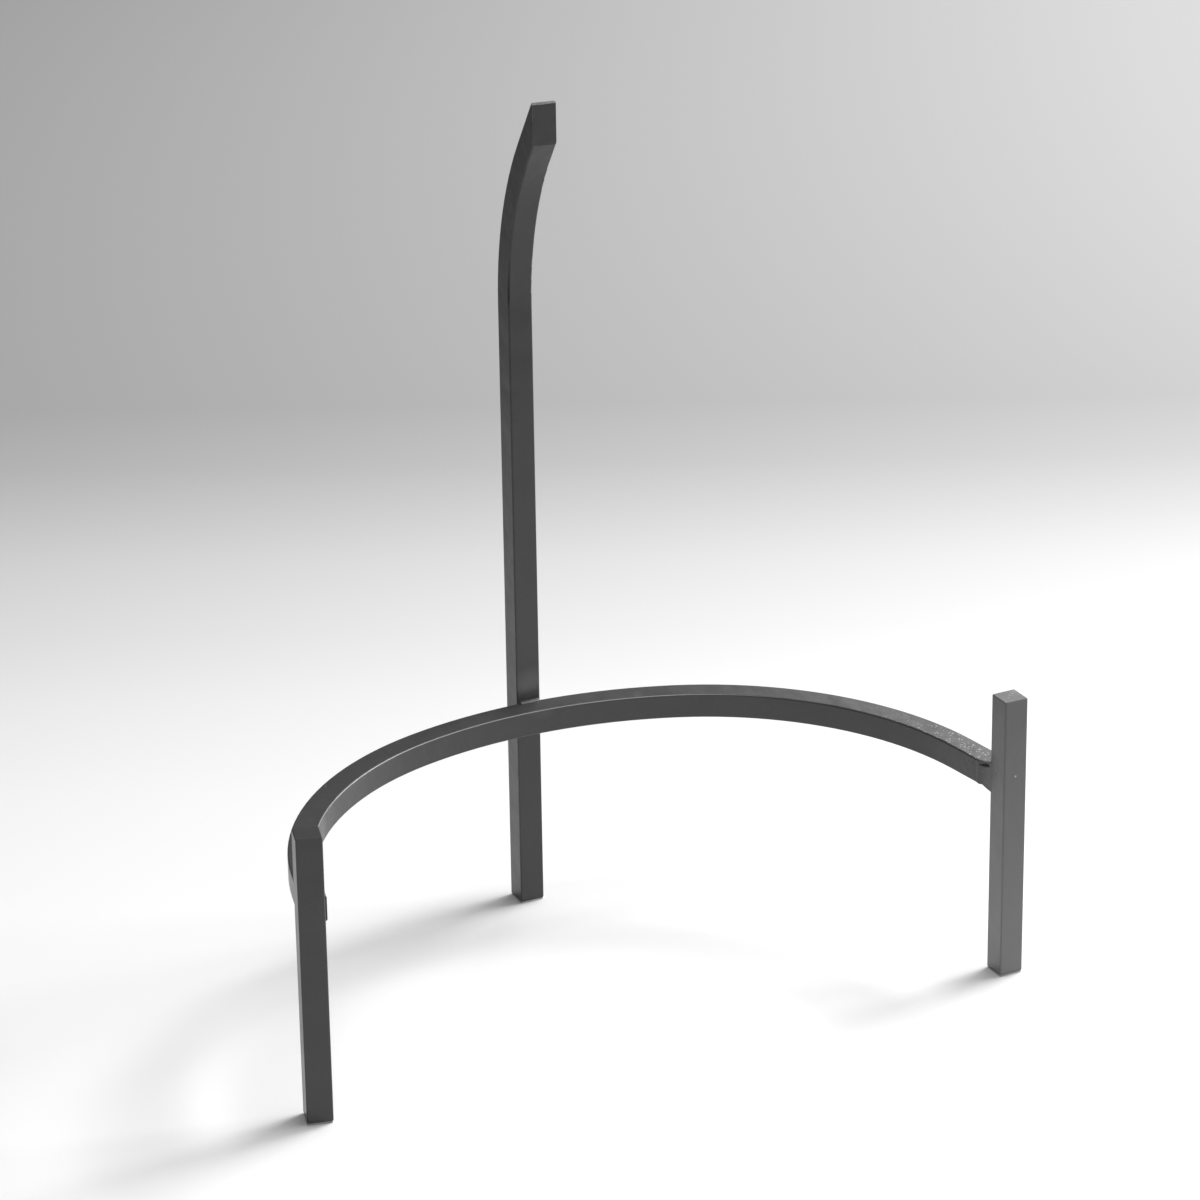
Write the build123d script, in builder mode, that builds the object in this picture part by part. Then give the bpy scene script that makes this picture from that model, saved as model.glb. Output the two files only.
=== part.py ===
"""Firewood log rack: a welded stand of solid square bar.

A level half ring, open to the front, is carried by two short front legs and one
tall back post that leans forward at its top. Every bar is one solid piece, every
weld bead is a solid of its own, and each foot stands on a thin pad.

Frame: +X right, +Y towards the post, +Z up, millimetres. The origin is on the
floor, midway between the two legs and midway from the legs back to the post.
"""

from build123d import *
from math import asin, cos, degrees, radians, sin, sqrt, tan
import os

# ---- driving dimensions ----------------------------------------------------

# Bar stock
bar = 15.0  # side of the square solid bar
bar_edge = 1.0  # rounding of the bar's long edges
end_edge = 0.5  # easing of the sawn ends

# Half ring
ring_top = 131.9  # top face above the floor
back_radius = 251.6  # centreline radius of the flatter stretch at the back
back_sweep = 19.0  # half angle of that stretch, degrees
side_radius = 183.4  # centreline radius of the two side stretches
end_turn = 78.5  # how far each straight end has turned from the middle, degrees
end_straight = 31.7  # straight end, from the bend to the leg's back face
right_gap = 7.0  # how far the right end stops short of its leg

# Legs and post
leg_length = 173.7
leg_outset = 2.9  # a leg's centre stands this far outside the ring's centreline
right_leg_turn = 4.5  # the right leg isn't square to the ring, degrees
post_offset = -4.1  # the post stands a little left of the middle
post_turn = 3.0  # and is turned a little, degrees
bend_height = 378.1  # the post is straight up to here
bend_radius = 181.6  # centreline radius of its forward bend
bend_turn = 33.3  # the tip leans this far from upright, degrees
tip_reach = 44.1  # the tip's sawn face, forward of the post's centreline
saw_turn = 2.9  # the saw cut isn't square to the post, degrees
face_top = 509.8  # the sawn face ends here, in a bevel that takes off the point
bevel_slope = 28.0  # how far the bevel faces forward from level, degrees
bevel_tilt = 3.2  # and how far it falls to the right, degrees

# Welds and pads
leg_weld = 3.9  # how far a bead spreads on a leg
post_weld = 2.8  # how far a bead spreads on the post and the ring
weld_recess = 1.2  # the right bead is this much hollow on the ring's inside
weld_skin = 0.4  # thickness of a bead where it runs out on the bar
pad_thickness = 1.0
pad_inset = 0.2  # the pad's edge stands back this far from the bar's face

# ---- derived sizes ---------------------------------------------------------

half_bar = bar / 2
end_angle = radians(end_turn)
back_angle = radians(back_sweep)
ring_axis = ring_top - half_bar
side_sweep = end_turn - back_sweep

# Where each side stretch ends, from the middle of the ring's back
radius_step = back_radius - side_radius
bend_end_x = radius_step * sin(back_angle) + side_radius * sin(end_angle)
ring_depth = radius_step * cos(back_angle) + side_radius * cos(end_angle)
bend_end_depth = back_radius - ring_depth

# A leg's centre, from the same point
leg_run = end_straight + half_bar
leg_x = bend_end_x + leg_run * cos(end_angle) + leg_outset * sin(end_angle)
leg_depth = bend_end_depth + leg_run * sin(end_angle) - leg_outset * cos(end_angle)
left_leg_turn = end_turn - 90  # square to the ring's end

# The turned post meets the round back with one edge of its front face.
contact_turn = degrees(asin(-post_offset / (back_radius + bar)))
post_seat = half_bar * sin(radians(abs(post_turn - contact_turn)))
post_distance = back_radius + bar + post_seat
post_behind = sqrt(post_distance**2 - post_offset**2) - back_radius

# The origin lies midway from the legs back to the post.
back_y = (leg_depth - post_behind) / 2
leg_y = back_y - leg_depth
post_y = back_y + post_behind

# A bead on a bar covers its flat face and half of each rounded edge.
weld_width = bar - bar_edge
groove = bar_edge / 2

# ---- places ----------------------------------------------------------------


def foot(x, y, turned):
    """Level plane on the floor under a bar, turned about the vertical."""
    return Plane((x, y, 0)).rotated((0, 0, turned))


left_foot = foot(-leg_x, leg_y, left_leg_turn)
right_foot = foot(leg_x, leg_y, right_leg_turn)
post_foot = foot(post_offset, post_y, post_turn)
post_front = -post_foot.y_dir

# Along the ring from its left end to its right end
left_heading = Vector(cos(end_angle), sin(end_angle))
left_outward = Vector(-sin(end_angle), cos(end_angle))
right_heading = Vector(cos(end_angle), -sin(end_angle))
right_outward = Vector(sin(end_angle), cos(end_angle))

left_bend_end = Vector(-bend_end_x, back_y - bend_end_depth, ring_axis)
right_bend_end = Vector(bend_end_x, back_y - bend_end_depth, ring_axis)
left_end = left_bend_end - left_heading * end_straight
right_end = right_bend_end + right_heading * (end_straight - right_gap)

# ---- bars ------------------------------------------------------------------


def bar_section():
    """Square bar with rounded long edges."""
    return RectangleRounded(bar, bar, bar_edge)


with BuildPart() as half_ring:
    with BuildLine() as ring_path:
        left_straight = Line(left_end, left_bend_end)
        left_side = JernArc(left_straight @ 1, left_heading, side_radius, -side_sweep)
        back = JernArc(left_side @ 1, left_side % 1, back_radius, -2 * back_sweep)
        right_side = JernArc(back @ 1, back % 1, side_radius, -side_sweep)
        Line(right_side @ 1, right_end)
    with BuildSketch(Plane(left_end, left_outward, left_heading)):
        bar_section()
    sweep(path=ring_path.wire())


def leg(place):
    """Upright bar on its pad, eased at both ends."""
    with BuildPart() as upright:
        with BuildSketch(place.offset(pad_thickness)):
            bar_section()
        extrude(amount=leg_length)
        ends = upright.faces().filter_by(Axis.Z)
        chamfer(ends.edges(), length=end_edge)
    return upright


left_leg = leg(left_foot)
right_leg = leg(right_foot)

# The tip runs on past the sawn face, which then cuts it off.
bend_run = bend_radius * (1 - cos(radians(bend_turn)))
tip_length = (tip_reach + bar - bend_run) / sin(radians(bend_turn))

saw_side = post_front.rotate(Axis.Z, saw_turn)
sawn_face = Plane(post_foot.origin + post_front * tip_reach, z_dir=-saw_side)
bevel_edge = sawn_face.origin + Vector(0, 0, face_top)
falling = post_foot.x_dir * tan(radians(bevel_tilt))
facing = saw_side * tan(radians(bevel_slope)) + falling + Vector(0, 0, 1)
bevel = Plane(bevel_edge, z_dir=-facing)

with BuildPart() as back_post:
    with BuildLine(Plane(post_foot.origin, post_front, -post_foot.x_dir)) as post_path:
        shaft = Line((0, pad_thickness), (0, bend_height))
        bend = JernArc(shaft @ 1, shaft % 1, bend_radius, -bend_turn)
        Line(bend @ 1, bend @ 1 + bend % 1 * tip_length)
    with BuildSketch(post_foot.offset(pad_thickness)):
        bar_section()
    sweep(path=post_path.wire())
    split(bisect_by=sawn_face, keep=Keep.TOP)
    split(bisect_by=bevel, keep=Keep.TOP)
    chamfer(back_post.faces().sort_by(Axis.Z)[0].edges(), length=end_edge)

# ---- welds -----------------------------------------------------------------


def limits(left, right, bottom, top):
    """Rectangle given by its four sides."""
    with Locations(((left + right) / 2, (bottom + top) / 2)):
        Rectangle(right - left, top - bottom)


def laid_on(*bars):
    """Take away what the bars fill, so that the bead fits against them."""
    for solid_bar in bars:
        add(solid_bar.part, mode=Mode.SUBTRACT)


# Left: a collar round the end that butts the leg. It is open on the inside,
# where the ring stands past the leg, and starts inside the leg's rounded edges.
collar_start = left_end - left_heading * bar_edge
collar_end = left_end + left_heading * leg_weld
collar_inside = leg_outset - weld_width / 2

with BuildPart() as left_leg_weld:
    with BuildSketch(Plane(collar_start, left_outward, left_heading)):
        collar_rise = half_bar + leg_weld
        limits(collar_inside, leg_outset + weld_width / 2, -collar_rise, collar_rise)
    with BuildSketch(Plane(collar_end, left_outward, left_heading)):
        collar_skin = half_bar + weld_skin
        limits(collar_inside, collar_skin, -collar_skin, collar_skin)
    loft()
    laid_on(half_ring, left_leg)

# Right: a plug that bridges the gap and spreads downwards on the leg.
plug_edge = half_bar - weld_skin
leg_back = right_foot.origin + right_foot.y_dir * (half_bar - bar_edge)
leg_back = leg_back + Vector(0, 0, ring_axis)

with BuildPart() as right_leg_weld:
    with BuildSketch(Plane(right_end, right_outward, right_heading)):
        limits(weld_recess - half_bar, plug_edge, -plug_edge, plug_edge)
    with BuildSketch(Plane(leg_back, right_foot.x_dir, -right_foot.y_dir)):
        limits(-weld_width / 2, weld_width / 2, -half_bar - leg_weld, plug_edge)
    loft()
    laid_on(right_leg)


def post_bead(level, rise):
    """Fillet weld across the post's front, rising away from the ring's face."""
    corner = post_foot.origin + post_front * half_bar + Vector(0, 0, level)
    with BuildPart() as bead:
        with BuildSketch(Plane(corner, post_front, post_front.cross(rise))):
            with BuildLine():
                Polyline(
                    (-bar_edge, -groove),
                    (-bar_edge, post_weld),
                    (0, post_weld),
                    (post_weld, 0),
                    (post_weld, -groove),
                    close=True,
                )
            make_face()
        extrude(amount=weld_width / 2, both=True)
        laid_on(half_ring, back_post)
    return bead


post_weld_upper = post_bead(ring_top, Vector(0, 0, 1))
post_weld_lower = post_bead(ring_top - bar, Vector(0, 0, -1))

# ---- foot pads -------------------------------------------------------------


def foot_pad(place):
    """Thin pad under a bar."""
    side = bar - 2 * pad_inset
    with BuildPart() as pad:
        with BuildSketch(place):
            RectangleRounded(side, side, bar_edge)
        extrude(amount=pad_thickness)
    return pad


# ---- export ----------------------------------------------------------------

pieces = {
    "half_ring": half_ring,
    "back_post": back_post,
    "left_leg": left_leg,
    "right_leg": right_leg,
    "left_leg_weld": left_leg_weld,
    "right_leg_weld": right_leg_weld,
    "post_weld_upper": post_weld_upper,
    "post_weld_lower": post_weld_lower,
    "back_foot_pad": foot_pad(post_foot),
    "left_foot_pad": foot_pad(left_foot),
    "right_foot_pad": foot_pad(right_foot),
}

os.makedirs("parts", exist_ok=True)
for name, piece in pieces.items():
    piece.part.label = name
    export_step(piece.part, f"parts/{name}.step")
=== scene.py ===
"""Firewood log rack: the looks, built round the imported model. Units are metres.

The bars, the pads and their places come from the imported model. The weld beads are
rebuilt here as thin uneven skins, and every finish is a procedural node material.
"""

from math import cos, pi, radians, sin

import bpy
from mathutils import Matrix, Vector, noise


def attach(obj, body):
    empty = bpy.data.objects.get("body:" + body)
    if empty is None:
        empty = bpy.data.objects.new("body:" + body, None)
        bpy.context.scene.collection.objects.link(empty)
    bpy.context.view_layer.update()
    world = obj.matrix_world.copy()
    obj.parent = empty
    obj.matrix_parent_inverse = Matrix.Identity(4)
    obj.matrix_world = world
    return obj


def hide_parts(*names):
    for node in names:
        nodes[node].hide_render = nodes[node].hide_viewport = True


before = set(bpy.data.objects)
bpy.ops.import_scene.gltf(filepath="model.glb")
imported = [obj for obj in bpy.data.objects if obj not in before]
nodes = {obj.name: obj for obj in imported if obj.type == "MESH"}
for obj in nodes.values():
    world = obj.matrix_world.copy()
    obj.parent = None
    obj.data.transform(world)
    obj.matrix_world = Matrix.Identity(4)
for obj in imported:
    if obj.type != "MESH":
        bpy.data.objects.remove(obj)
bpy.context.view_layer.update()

# ---- sizes shared with the solids ------------------------------------------

bar = 0.015
bar_edge = 0.001  # rounding of the bar's long edges
half_bar = bar / 2
ring_top = 0.1319
ring_bottom = ring_top - bar
ring_axis = ring_top - half_bar
left_end = Vector((-0.20824, -0.09504, ring_axis))  # centre of the ring's left end
right_end = Vector((0.20684, -0.08819, ring_axis))
leg_outset = 0.0029  # a leg's centre stands this far outside the ring's centreline
post = Vector((-0.0041, 0.10182, 0))
post_turn = radians(3)
end_turn = radians(78.5)  # turn of the ring's straight ends

up = Vector((0, 0, 1))

# From each end of the ring towards its leg, and away from the ring's inside
right_heading = Vector((cos(end_turn), -sin(end_turn), 0))
right_outward = Vector((sin(end_turn), cos(end_turn), 0))
left_heading = Vector((-cos(end_turn), -sin(end_turn), 0))
left_outward = Vector((-sin(end_turn), cos(end_turn), 0))

# ---- camera ----------------------------------------------------------------

camera_target = Vector((0.0084, 0.0122, 0.2267))
camera_azimuth = radians(-22.79)
camera_elevation = radians(23.23)
camera_roll = radians(-0.84)
camera_distance = 2.8152
camera_lens = 148.3


def add_camera():
    """Long lens from the front left, looking down on the rack."""
    turn = (
        Matrix.Rotation(camera_azimuth, 4, "Z")
        @ Matrix.Rotation(pi / 2 - camera_elevation, 4, "X")
        @ Matrix.Rotation(camera_roll, 4, "Z")
    )
    data = bpy.data.cameras.new("camera")
    data.lens = camera_lens
    camera = bpy.data.objects.new("camera", data)
    camera.matrix_world = (
        Matrix.Translation(camera_target)
        @ turn
        @ Matrix.Translation((0, 0, camera_distance))
    )
    bpy.context.scene.collection.objects.link(camera)
    bpy.context.scene.camera = camera


add_camera()

# ---- node helpers ----------------------------------------------------------


class Nodes:
    """Short calls for building one material's node tree."""

    def __init__(self, name):
        self.material = bpy.data.materials.new(name)
        self.material.use_nodes = True
        self.tree = self.material.node_tree
        self.shader = self.tree.nodes["Principled BSDF"]
        self.place = self.add("ShaderNodeTexCoord").outputs["Object"]

    def add(self, kind, **settings):
        node = self.tree.nodes.new(kind)
        for key, value in settings.items():
            setattr(node, key, value)
        return node

    def feed(self, socket, value):
        """Link value into socket if it is an output, or set it there if it isn't."""
        if isinstance(value, bpy.types.NodeSocket):
            self.tree.links.new(value, socket)
        else:
            socket.default_value = value

    def math(self, operation, a, b):
        node = self.add("ShaderNodeMath", operation=operation)
        self.feed(node.inputs[0], a)
        self.feed(node.inputs[1], b)
        return node.outputs["Value"]

    def times(self, first, *others):
        """Product of all the values."""
        product = first
        for other in others:
            product = self.math("MULTIPLY", product, other)
        return product

    def along(self, direction):
        """Distance along a direction from the origin."""
        node = self.add("ShaderNodeVectorMath", operation="DOT_PRODUCT")
        self.feed(node.inputs[0], self.place)
        node.inputs[1].default_value = direction
        return node.outputs["Value"]

    def facing(self, direction):
        """1 where the surface faces along direction, -1 where it faces away."""
        node = self.add("ShaderNodeVectorMath", operation="DOT_PRODUCT")
        self.feed(node.inputs[0], self.add("ShaderNodeNewGeometry").outputs["Normal"])
        node.inputs[1].default_value = direction
        return node.outputs["Value"]

    def away_from(self, point):
        """Distance from a point."""
        node = self.add("ShaderNodeVectorMath", operation="DISTANCE")
        self.feed(node.inputs[0], self.place)
        node.inputs[1].default_value = point
        return node.outputs["Value"]

    def spread(self, value, low, high, to_low=0.0, to_high=1.0):
        """Stretch low..high to to_low..to_high and stop at both ends."""
        node = self.add("ShaderNodeMapRange")
        self.feed(node.inputs["Value"], value)
        node.inputs["From Min"].default_value = low
        node.inputs["From Max"].default_value = high
        node.inputs["To Min"].default_value = to_low
        node.inputs["To Max"].default_value = to_high
        return node.outputs["Result"]

    def noise(self, size, detail=2.0, roughness=0.5):
        """Cloudy noise, 0 to 1, with features of about the given size in metres."""
        node = self.add("ShaderNodeTexNoise")
        self.feed(node.inputs["Vector"], self.place)
        node.inputs["Scale"].default_value = 1 / size
        node.inputs["Detail"].default_value = detail
        node.inputs["Roughness"].default_value = roughness
        return node.outputs["Fac"]

    def specks(self, size, radius):
        """1 at scattered grains, 0 between them. One grain per cell of that size."""
        node = self.add("ShaderNodeTexVoronoi")
        self.feed(node.inputs["Vector"], self.place)
        node.inputs["Scale"].default_value = 1 / size
        return self.spread(node.outputs["Distance"], radius * 0.6, radius, 1, 0)

    def mix(self, share, a, b):
        """Colour from a to b as share goes from 0 to 1."""
        node = self.add("ShaderNodeMix", data_type="RGBA")
        self.feed(node.inputs["Factor"], share)
        self.feed(node.inputs["A"], a)
        self.feed(node.inputs["B"], b)
        return node.outputs["Result"]

    def bump(self, height, distance, before=None):
        """Normal bent by a height, on top of an earlier bend if one is given."""
        node = self.add("ShaderNodeBump")
        node.inputs["Distance"].default_value = distance
        self.feed(node.inputs["Height"], height)
        if before:
            self.feed(node.inputs["Normal"], before)
        return node.outputs["Normal"]


def grey(level):
    return (level, level, level, 1)


# ---- stage -----------------------------------------------------------------

# Level directions: the one in which the camera looks, and its right
view_along = Vector((-sin(camera_azimuth), cos(camera_azimuth), 0))
view_right = Vector((cos(camera_azimuth), sin(camera_azimuth), 0))

floor_half = 12.0
near_pale = (0.12, 0.85)
far_pale = (1.0, 0.52)
falling = ((0.19, 0.82), (0.255, 0.76), (0.308, 0.68), (0.35, 0.59), (0.4, 0.49))
rising = ((0.46, 0.43), (0.58, 0.45))
lights_aim = Vector((0, 0, 0.15))


def add_floor():
    """Pale sheet, bright round the rack, with painted shade greying it behind the
    rack, most on the left.

    The pairs above are paleness along the view, at shares of ramp_length.
    """
    ramp_length = 2.0
    mesh = bpy.data.meshes.new("floor")
    signs = ((-1, -1), (1, -1), (1, 1), (-1, 1))
    corners = [(floor_half * x, floor_half * y, 0) for x, y in signs]
    mesh.from_pydata(corners, [], [(0, 1, 2, 3)])
    floor = bpy.data.objects.new("floor", mesh)
    bpy.context.scene.collection.objects.link(floor)

    make = Nodes("floor")
    depth = make.along(view_along)
    ramp = make.add("ShaderNodeValToRGB")
    make.feed(ramp.inputs["Fac"], make.spread(depth, 0, ramp_length))
    stops = ramp.color_ramp.elements
    for stop, (position, level) in zip(stops, (near_pale, far_pale)):
        stop.position = position
        stop.color = grey(level)
    for position, level in falling + rising:
        stops.new(position).color = grey(level)
    # Painted shade: the floor's colour greys towards the left and further behind
    side = make.spread(make.along(view_right), -0.6, 0.5, 0.69, 0.79)
    far = make.spread(depth, -0.2, 0.5)
    shade = make.mix(far, grey(1), side)
    painted_floor_shade = make.add("ShaderNodeMix", data_type="RGBA", blend_type="MULTIPLY")
    painted_floor_shade.inputs["Factor"].default_value = 1
    make.feed(painted_floor_shade.inputs["A"], ramp.outputs["Color"])
    make.feed(painted_floor_shade.inputs["B"], shade)
    make.feed(make.shader.inputs["Base Color"], painted_floor_shade.outputs["Result"])
    make.shader.inputs["Roughness"].default_value = 1
    make.shader.inputs["Specular IOR Level"].default_value = 0
    mesh.materials.append(make.material)


def add_area(name, azimuth, elevation, size, power, distance=3.0):
    """Square softbox on a sphere round the rack. Angles are in degrees."""
    flat = cos(radians(elevation))
    direction = Vector(
        (
            flat * cos(radians(azimuth)),
            flat * sin(radians(azimuth)),
            sin(radians(elevation)),
        )
    )
    data = bpy.data.lights.new(name, "AREA")
    data.shape = "SQUARE"
    data.size = size
    data.energy = power
    light = bpy.data.objects.new(name, data)
    light.location = lights_aim + direction * distance
    light.rotation_euler = (-direction).to_track_quat("-Z", "Y").to_euler()
    light.visible_camera = False
    bpy.context.scene.collection.objects.link(light)


def add_world(strength):
    world = bpy.data.worlds.new("studio")
    world.use_nodes = True
    background = world.node_tree.nodes["Background"]
    background.inputs["Color"].default_value = grey(1)
    background.inputs["Strength"].default_value = strength
    bpy.context.scene.world = world


add_floor()
add_area("key", azimuth=15, elevation=50, size=0.9, power=54)
add_area("low_right", azimuth=0, elevation=20, size=1.5, power=77)
add_area("low_back", azimuth=45, elevation=20, size=1.5, power=19)
add_area("overhead", azimuth=0, elevation=85, size=1.5, power=54)
add_world(strength=0.12)
bpy.context.scene.view_settings.view_transform = "Standard"

# ---- finishes --------------------------------------------------------------


def edge_wear(make, radius):
    """1 on edges, 0 on flats: where a rounded normal leaves the true one."""
    bevel = make.add("ShaderNodeBevel", samples=6)
    bevel.inputs["Radius"].default_value = radius
    dot = make.add("ShaderNodeVectorMath", operation="DOT_PRODUCT")
    make.feed(dot.inputs[0], bevel.outputs["Normal"])
    make.feed(dot.inputs[1], make.add("ShaderNodeNewGeometry").outputs["Normal"])
    worn = make.spread(dot.outputs["Value"], 0.97, 0.8)
    patchy = make.spread(make.noise(0.012, 4, 0.6), 0.45, 0.62)
    return make.times(worn, patchy)


def dust_and_painted_light(make):
    """1 on the right leg's front and left, thinning upwards, 0 elsewhere: partly
    dust, partly painted light.
    """
    right = make.spread(make.along((1, 0, 0)), 0.1985, 0.2035)
    forward = make.spread(make.along((0, -1, 0)), 0.0875, 0.0895)
    thinning = make.spread(make.along(up), 0, 0.16, 1, 0.5)
    sides = make.spread(make.facing((-0.7, -0.7, 0)), -0.3, 0.3)
    return make.times(right, forward, thinning, sides)


def painted_highlight_rim(make):
    """1 on the ring's upper inside edge, 0 elsewhere: a painted highlight along its
    rounded edge.
    """
    upward = make.facing(up)
    off_side = make.spread(upward, 0.35, 0.6)
    off_top = make.spread(upward, 0.92, 0.84)
    inside = make.spread(make.facing((0.7, -0.7, 0)), 0.1, 0.3)
    low = make.spread(make.along(up), ring_top + 0.0011, ring_top + 0.0021, 1, 0)
    return make.times(off_side, off_top, inside, low)


leg_chip = (0.2132, -0.1093, 0.1273)  # on the right leg's front
overspray = (0.205, -0.075, ring_top)  # centre of the flecks on the ring's top


def bar_paint():
    """Anthracite satin coat on steel bar."""
    make = Nodes("bar_paint")
    cloudy = make.noise(0.06, 4, 0.55)
    grain = make.noise(0.0009, 3, 0.6)
    colour = make.mix(cloudy, grey(0.034), grey(0.046))
    colour = make.mix(make.spread(grain, 0.3, 0.75, 0, 0.5), colour, grey(0.06))

    # Painted shade: blacker towards the top of the post. Painted light: paler on the
    # post's
    # front just above the ring. Paler on the right leg's front and left faces, lower
    # down:
    # partly dust, partly painted light
    # Painted shade: darker the higher the bar goes
    high = make.spread(make.along(up), 0.14, 0.36, 0, 0.62)
    colour = make.mix(high, colour, grey(0.008))
    # Painted light on the post's front just above the ring, lifting the shade there
    painted_light_centre = post + Vector((0.003, -half_bar, ring_top + 0.004))
    painted_light_falloff = make.spread(make.away_from(painted_light_centre), 0.008, 0.019, 0.75, 0)
    front = make.spread(make.facing((0, -1, 0)), 0.6, 0.9)
    colour = make.mix(make.times(painted_light_falloff, front), colour, grey(0.14))
    colour = make.mix(dust_and_painted_light(make), colour, grey(0.17))

    # Dark marks beside the right weld and one chip on the front of its leg
    beside = make.spread(make.away_from(right_end + up * 0.002), 0.009, 0.02, 0.8, 0)
    upright = make.spread(make.facing(up), 0.5, 0.2)
    marks = make.spread(make.noise(0.0028, 3, 0.7), 0.55, 0.66)
    colour = make.mix(make.times(marks, beside, upright), colour, grey(0.008))
    chip = make.spread(make.away_from(leg_chip), 0.0003, 0.0009, 1, 0)
    colour = make.mix(chip, colour, grey(0.45))

    # Light flecks of overspray on top, thick near the right leg and thin elsewhere
    facing_up = make.spread(make.facing(up), 0.85, 0.97)
    near_right = make.spread(make.away_from(overspray), 0.018, 0.1, 1, 0)
    patches = make.spread(make.noise(0.006, 3, 0.7), 0.43, 0.58)
    thick = make.times(make.specks(0.0016, 0.42), patches, near_right)
    thin = make.times(make.specks(0.011, 0.07), 0.35)
    flecks = make.times(make.math("MAXIMUM", thick, thin), facing_up)
    colour = make.mix(flecks, colour, grey(0.42))

    worn = make.times(edge_wear(make, 0.0009), 0.55)
    colour = make.mix(worn, colour, grey(0.16))
    # Painted highlight along the ring's upper inside edge
    colour = make.mix(make.times(painted_highlight_rim(make), 0.8), colour, grey(0.24))
    make.feed(make.shader.inputs["Base Color"], colour)

    gloss = make.spread(make.noise(0.02, 3, 0.6), 0.3, 0.7, 0.3, 0.38)
    make.feed(make.shader.inputs["Roughness"], make.math("ADD", gloss, flecks))

    waves = make.bump(make.noise(0.018, 2, 0.5), 0.0006)
    make.feed(make.shader.inputs["Normal"], make.bump(grain, 0.00006, waves))
    return make.material


def weld_paint():
    """The same coat over a bead: a little paler and duller, with a coarser skin."""
    make = Nodes("weld_paint")
    cloudy = make.noise(0.004, 3, 0.6)
    colour = make.mix(cloudy, grey(0.045), grey(0.075))
    # Paler on the right leg's front and left faces: partly dust, partly painted light
    colour = make.mix(dust_and_painted_light(make), colour, grey(0.17))
    spatter = make.times(make.specks(0.0022, 0.16), 0.5)
    colour = make.mix(spatter, colour, grey(0.2))
    worn = make.times(edge_wear(make, 0.0005), 0.4)
    colour = make.mix(worn, colour, grey(0.16))
    make.feed(make.shader.inputs["Base Color"], colour)
    gloss = make.spread(make.noise(0.003, 2, 0.5), 0.3, 0.7, 0.34, 0.5)
    make.feed(make.shader.inputs["Roughness"], gloss)
    coarse = make.bump(make.noise(0.0016, 3, 0.6), 0.0002)
    make.feed(make.shader.inputs["Normal"], coarse)
    return make.material


def foot_pad():
    """Pale, slightly cloudy soft plastic, scuffed at its edges."""
    make = Nodes("foot_pad")
    cloudy = make.noise(0.003, 3, 0.6)
    colour = make.mix(cloudy, grey(0.4), grey(0.6))
    scuffed = make.times(edge_wear(make, 0.0003), 0.5)
    colour = make.mix(scuffed, colour, grey(0.35))
    make.feed(make.shader.inputs["Base Color"], colour)
    gloss = make.spread(make.noise(0.002, 2, 0.5), 0.3, 0.7, 0.4, 0.65)
    make.feed(make.shader.inputs["Roughness"], gloss)
    make.feed(make.shader.inputs["Normal"], make.bump(cloudy, 0.0001))
    return make.material


finishes = {
    "bar_paint": bar_paint(),
    "weld_paint": weld_paint(),
    "foot_pad": foot_pad(),
}
bars = ("half_ring", "back_post", "left_leg", "right_leg")
pads = ("back_foot_pad", "left_foot_pad", "right_foot_pad")


def give(piece, finish):
    piece.data.materials.clear()
    piece.data.materials.append(finishes[finish])


for name in bars:
    give(nodes[name], "bar_paint")
for name in pads:
    give(nodes[name], "foot_pad")

# ---- weld beads ------------------------------------------------------------


def add_skin(name, rows, closed, node):
    """Smooth surface through rows of points, shown instead of a solid bead."""
    count = len(rows[0])
    verts = [point for row in rows for point in row]
    faces = []
    last = count if closed else count - 1
    for i in range(len(rows) - 1):
        for j in range(last):
            k = (j + 1) % count
            a, b = i * count + j, i * count + k
            faces.append((a, b, b + count, a + count))
    mesh = bpy.data.meshes.new(name)
    mesh.from_pydata([tuple(v) for v in verts], [], faces)
    mesh.polygons.foreach_set("use_smooth", [True] * len(faces))
    skin = bpy.data.objects.new(name, mesh)
    bpy.context.scene.collection.objects.link(skin)
    mesh.materials.append(finishes["weld_paint"])
    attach(skin, "root")
    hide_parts(node)
    return skin


def climb(value, start, end):
    """Straight rise from 0 at start to 1 at end, level beyond both."""
    return min(max((value - start) / (end - start), 0), 1)


def ease(value, start=0, end=1):
    """The same rise, smoothed at both ends."""
    t = climb(value, start, end)
    return t * t * (3 - 2 * t)


def lump(point, size, height):
    """Irregular rise or dip of a bead, the same for the same point."""
    return noise.noise(point / size) * height


def post_skin(name, node, level, rise):
    """Low bead across the post's front, wider on the ring than on the post."""
    width = bar - bar_edge
    reach = 0.0026  # on the ring
    post_share = 0.45  # its reach on the post, as a share of that
    hollow = 0.3
    ripple_length = 0.0013
    steps_across, steps_round = 70, 14
    side = Vector((cos(post_turn), sin(post_turn), 0))
    front = Vector((sin(post_turn), -cos(post_turn), 0))
    corner = post + front * half_bar + up * level
    rows = []
    for i in range(steps_across + 1):
        share = i / steps_across
        taper = min(ease(share * 9), ease((1 - share) * 9))
        ripple = 1 + 0.02 * sin(share * width / ripple_length * 2 * pi)
        size = reach * (0.25 + 0.75 * taper) * ripple
        row = []
        for j in range(steps_round + 1):
            turn = pi / 2 * j / steps_round
            out = size * (1 - hollow * sin(turn)) * cos(turn) ** 0.8
            high = size * post_share * (1 - hollow * cos(turn)) * sin(turn) ** 0.8
            # Both rims dip into the bars
            if j == 0:
                high -= rim_lift
            if j == steps_round:
                out -= rim_lift
            point = corner + side * (share - 0.5) * width + front * out + rise * high
            row.append(point + front * lump(point, 0.0035, 0.0001) * taper)
        rows.append(row)
    return add_skin(name, rows, False, node)


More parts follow.
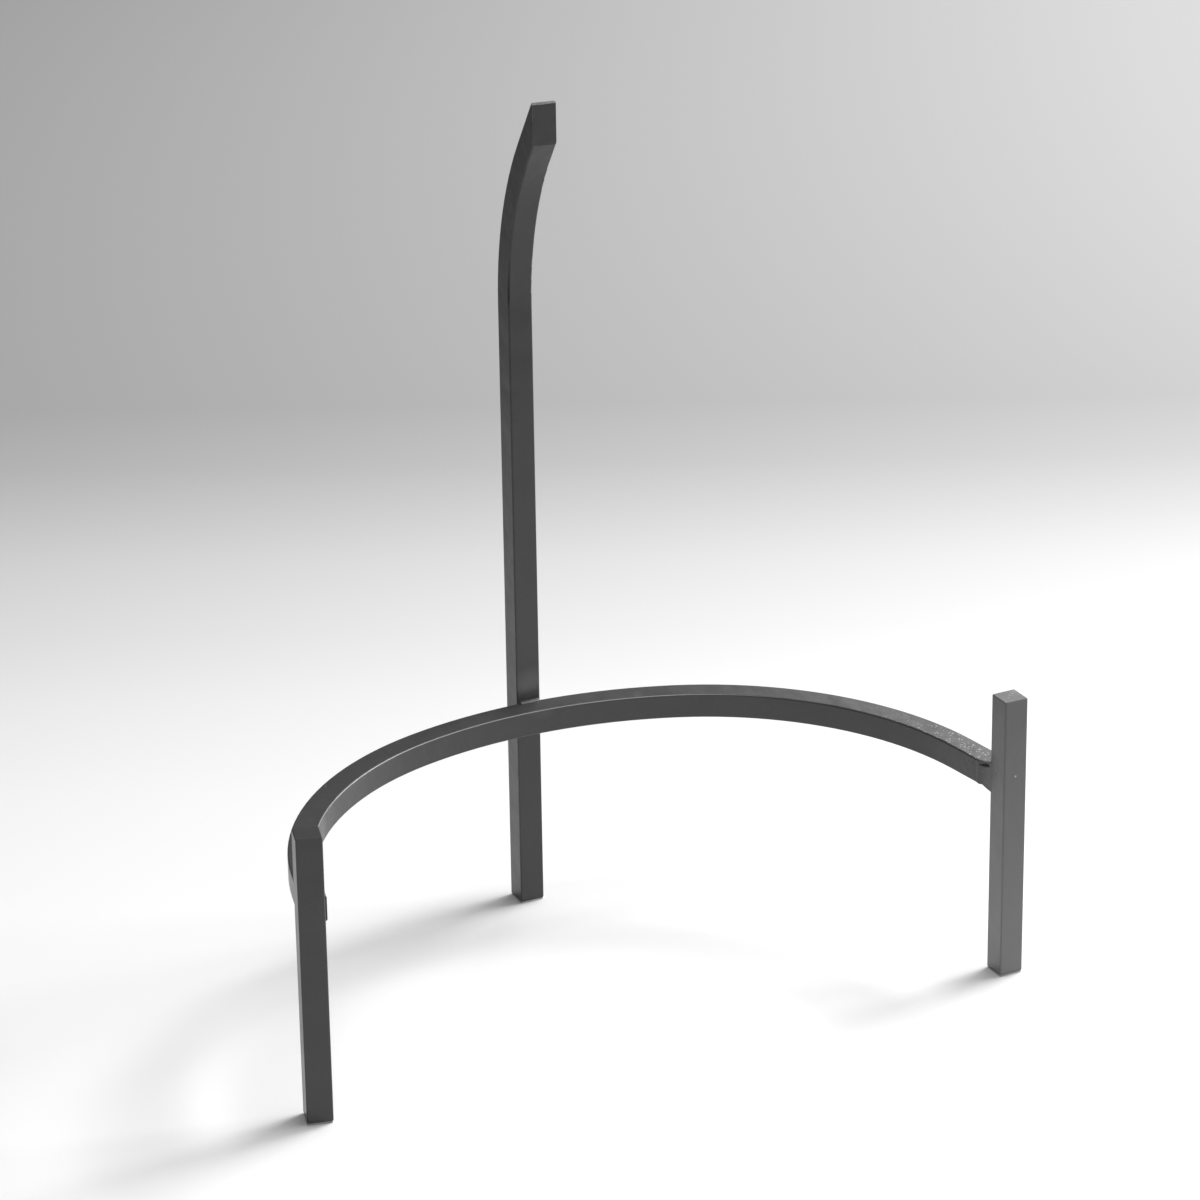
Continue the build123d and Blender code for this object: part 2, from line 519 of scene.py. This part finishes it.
def loop_round(centre, across, half_across, low, high, offset, corner):
    """Closed rounded outline in the upright plane through across."""
    outline = []
    steps = 10  # round each corner
    side_pieces = 36  # along each straight side
    left, right = offset - half_across, offset + half_across
    centres = ((right, high, 0), (left, high, 1), (left, low, 2), (right, low, 3))
    for x, z, quarter in centres:
        inward_x = -corner if quarter in (0, 3) else corner
        inward_z = -corner if quarter in (0, 1) else corner
        for i in range(steps + 1):
            turn = pi / 2 * (quarter + i / steps)
            dx = x + inward_x + corner * cos(turn)
            dz = z + inward_z + corner * sin(turn)
            outline.append(centre + across * dx + up * dz)
    points = []
    for i, point in enumerate(outline):
        following = outline[(i + 1) % len(outline)]
        pieces = side_pieces if i % (steps + 1) == steps else 1
        points += [point.lerp(following, k / pieces) for k in range(pieces)]
    return points


def leg_skin(name, node, start, heading, outward, run, plan):
    """Skin from a ring end to its leg.

    plan(t), with t from 0 at the start to 1 at the leg, gives the outline's half
    width, bottom, top, sideways shift, corner radius and unevenness.
    """
    rows = []
    steps = 26
    for i in range(steps + 1):
        t = i / steps
        half_across, low, high, offset, corner, wobble = plan(t)
        centre = start + heading * run * t
        row = []
        outline = loop_round(centre, outward, half_across, low, high, offset, corner)
        for point in outline:
            away = point - centre
            away.normalize()
            row.append(point + away * lump(point, 0.003, wobble))
        rows.append(row)
    return add_skin(name, rows, True, node)


rim_lift = 0.00012  # how far a bead's thin rim stands off the bar, or dips into it
belly = 0.0002  # and how much further its middle stands
skin_corner = 0.0011  # rounding of a skin's long edges, a little over the bar's

right_lead = 0.0018  # the skin starts this far before the ring's end
right_run = 0.0107
right_spread = 0.0037  # how far it spreads down on the leg
right_draw = 0.0037  # from the ring's inside to the leg's left face
right_tuck = 0.0005  # how deep its end tucks into the leg

left_lead = 0.0042
left_run = 0.0052
left_spread = 0.0034  # how far it spreads up and down on the leg
left_widen = 0.0022  # and outwards
left_inside = 0.0041  # its inner side, from the ring's centreline, is hidden


def right_plan(t):
    """Flush with the ring, then spreading down and drawing over to the leg."""
    proud = rim_lift + belly * sin(pi * t)
    drift = climb(t, 0.15, 0.83)
    outside = half_bar + proud + leg_outset * drift
    inside = half_bar + proud - right_draw * drift - right_tuck * ease(t, 0.8, 1)
    half = (outside + inside) / 2
    shift = (outside - inside) / 2
    bottom = -half_bar - proud - right_spread * climb(t, 0.38, 0.8)
    return half, bottom, half_bar + rim_lift, shift, skin_corner, 0.0002


def left_plan(t):
    """Thin on the ring, spreading all round on the leg, but open on the inside."""
    thin = half_bar + rim_lift + belly * sin(pi * t)
    rise = thin + left_spread * ease(t)
    outside = thin + left_widen * ease(t)
    half = (outside + left_inside) / 2
    shift = (outside - left_inside) / 2
    return half, -rise, rise, shift, skin_corner + 0.0008 * ease(t), 0.0003


right_bead = leg_skin(
    "right_weld_skin",
    "right_leg_weld",
    right_end - right_heading * right_lead,
    right_heading,
    right_outward,
    right_run,
    right_plan,
)

# A long pit where the bead didn't fill the ring's upper inside corner
pit_along, pit_inside, pit_below_top = 0.0034, 0.0062, 0.0021
pit_length, pit_height, pit_depth = 0.0037, 0.0013, 0.0028
pit_reach = 0.003  # skin further out than this doesn't give way
pit = right_end + right_heading * pit_along - right_outward * pit_inside
pit += up * (half_bar - pit_below_top)
for vertex in right_bead.data.vertices:
    offset = vertex.co - pit
    lengthwise = offset.dot(right_heading) / pit_length
    distance = Vector((lengthwise, offset.z / pit_height)).length
    if offset.dot(right_outward) < pit_reach:
        vertex.co += right_outward * pit_depth * (1 - ease(distance))

leg_skin(
    "left_weld_skin",
    "left_leg_weld",
    left_end - left_heading * left_lead,
    left_heading,
    left_outward,
    left_run,
    left_plan,
)

post_skin("post_weld_upper_skin", "post_weld_upper", ring_top, up)
post_skin("post_weld_lower_skin", "post_weld_lower", ring_bottom, -up)
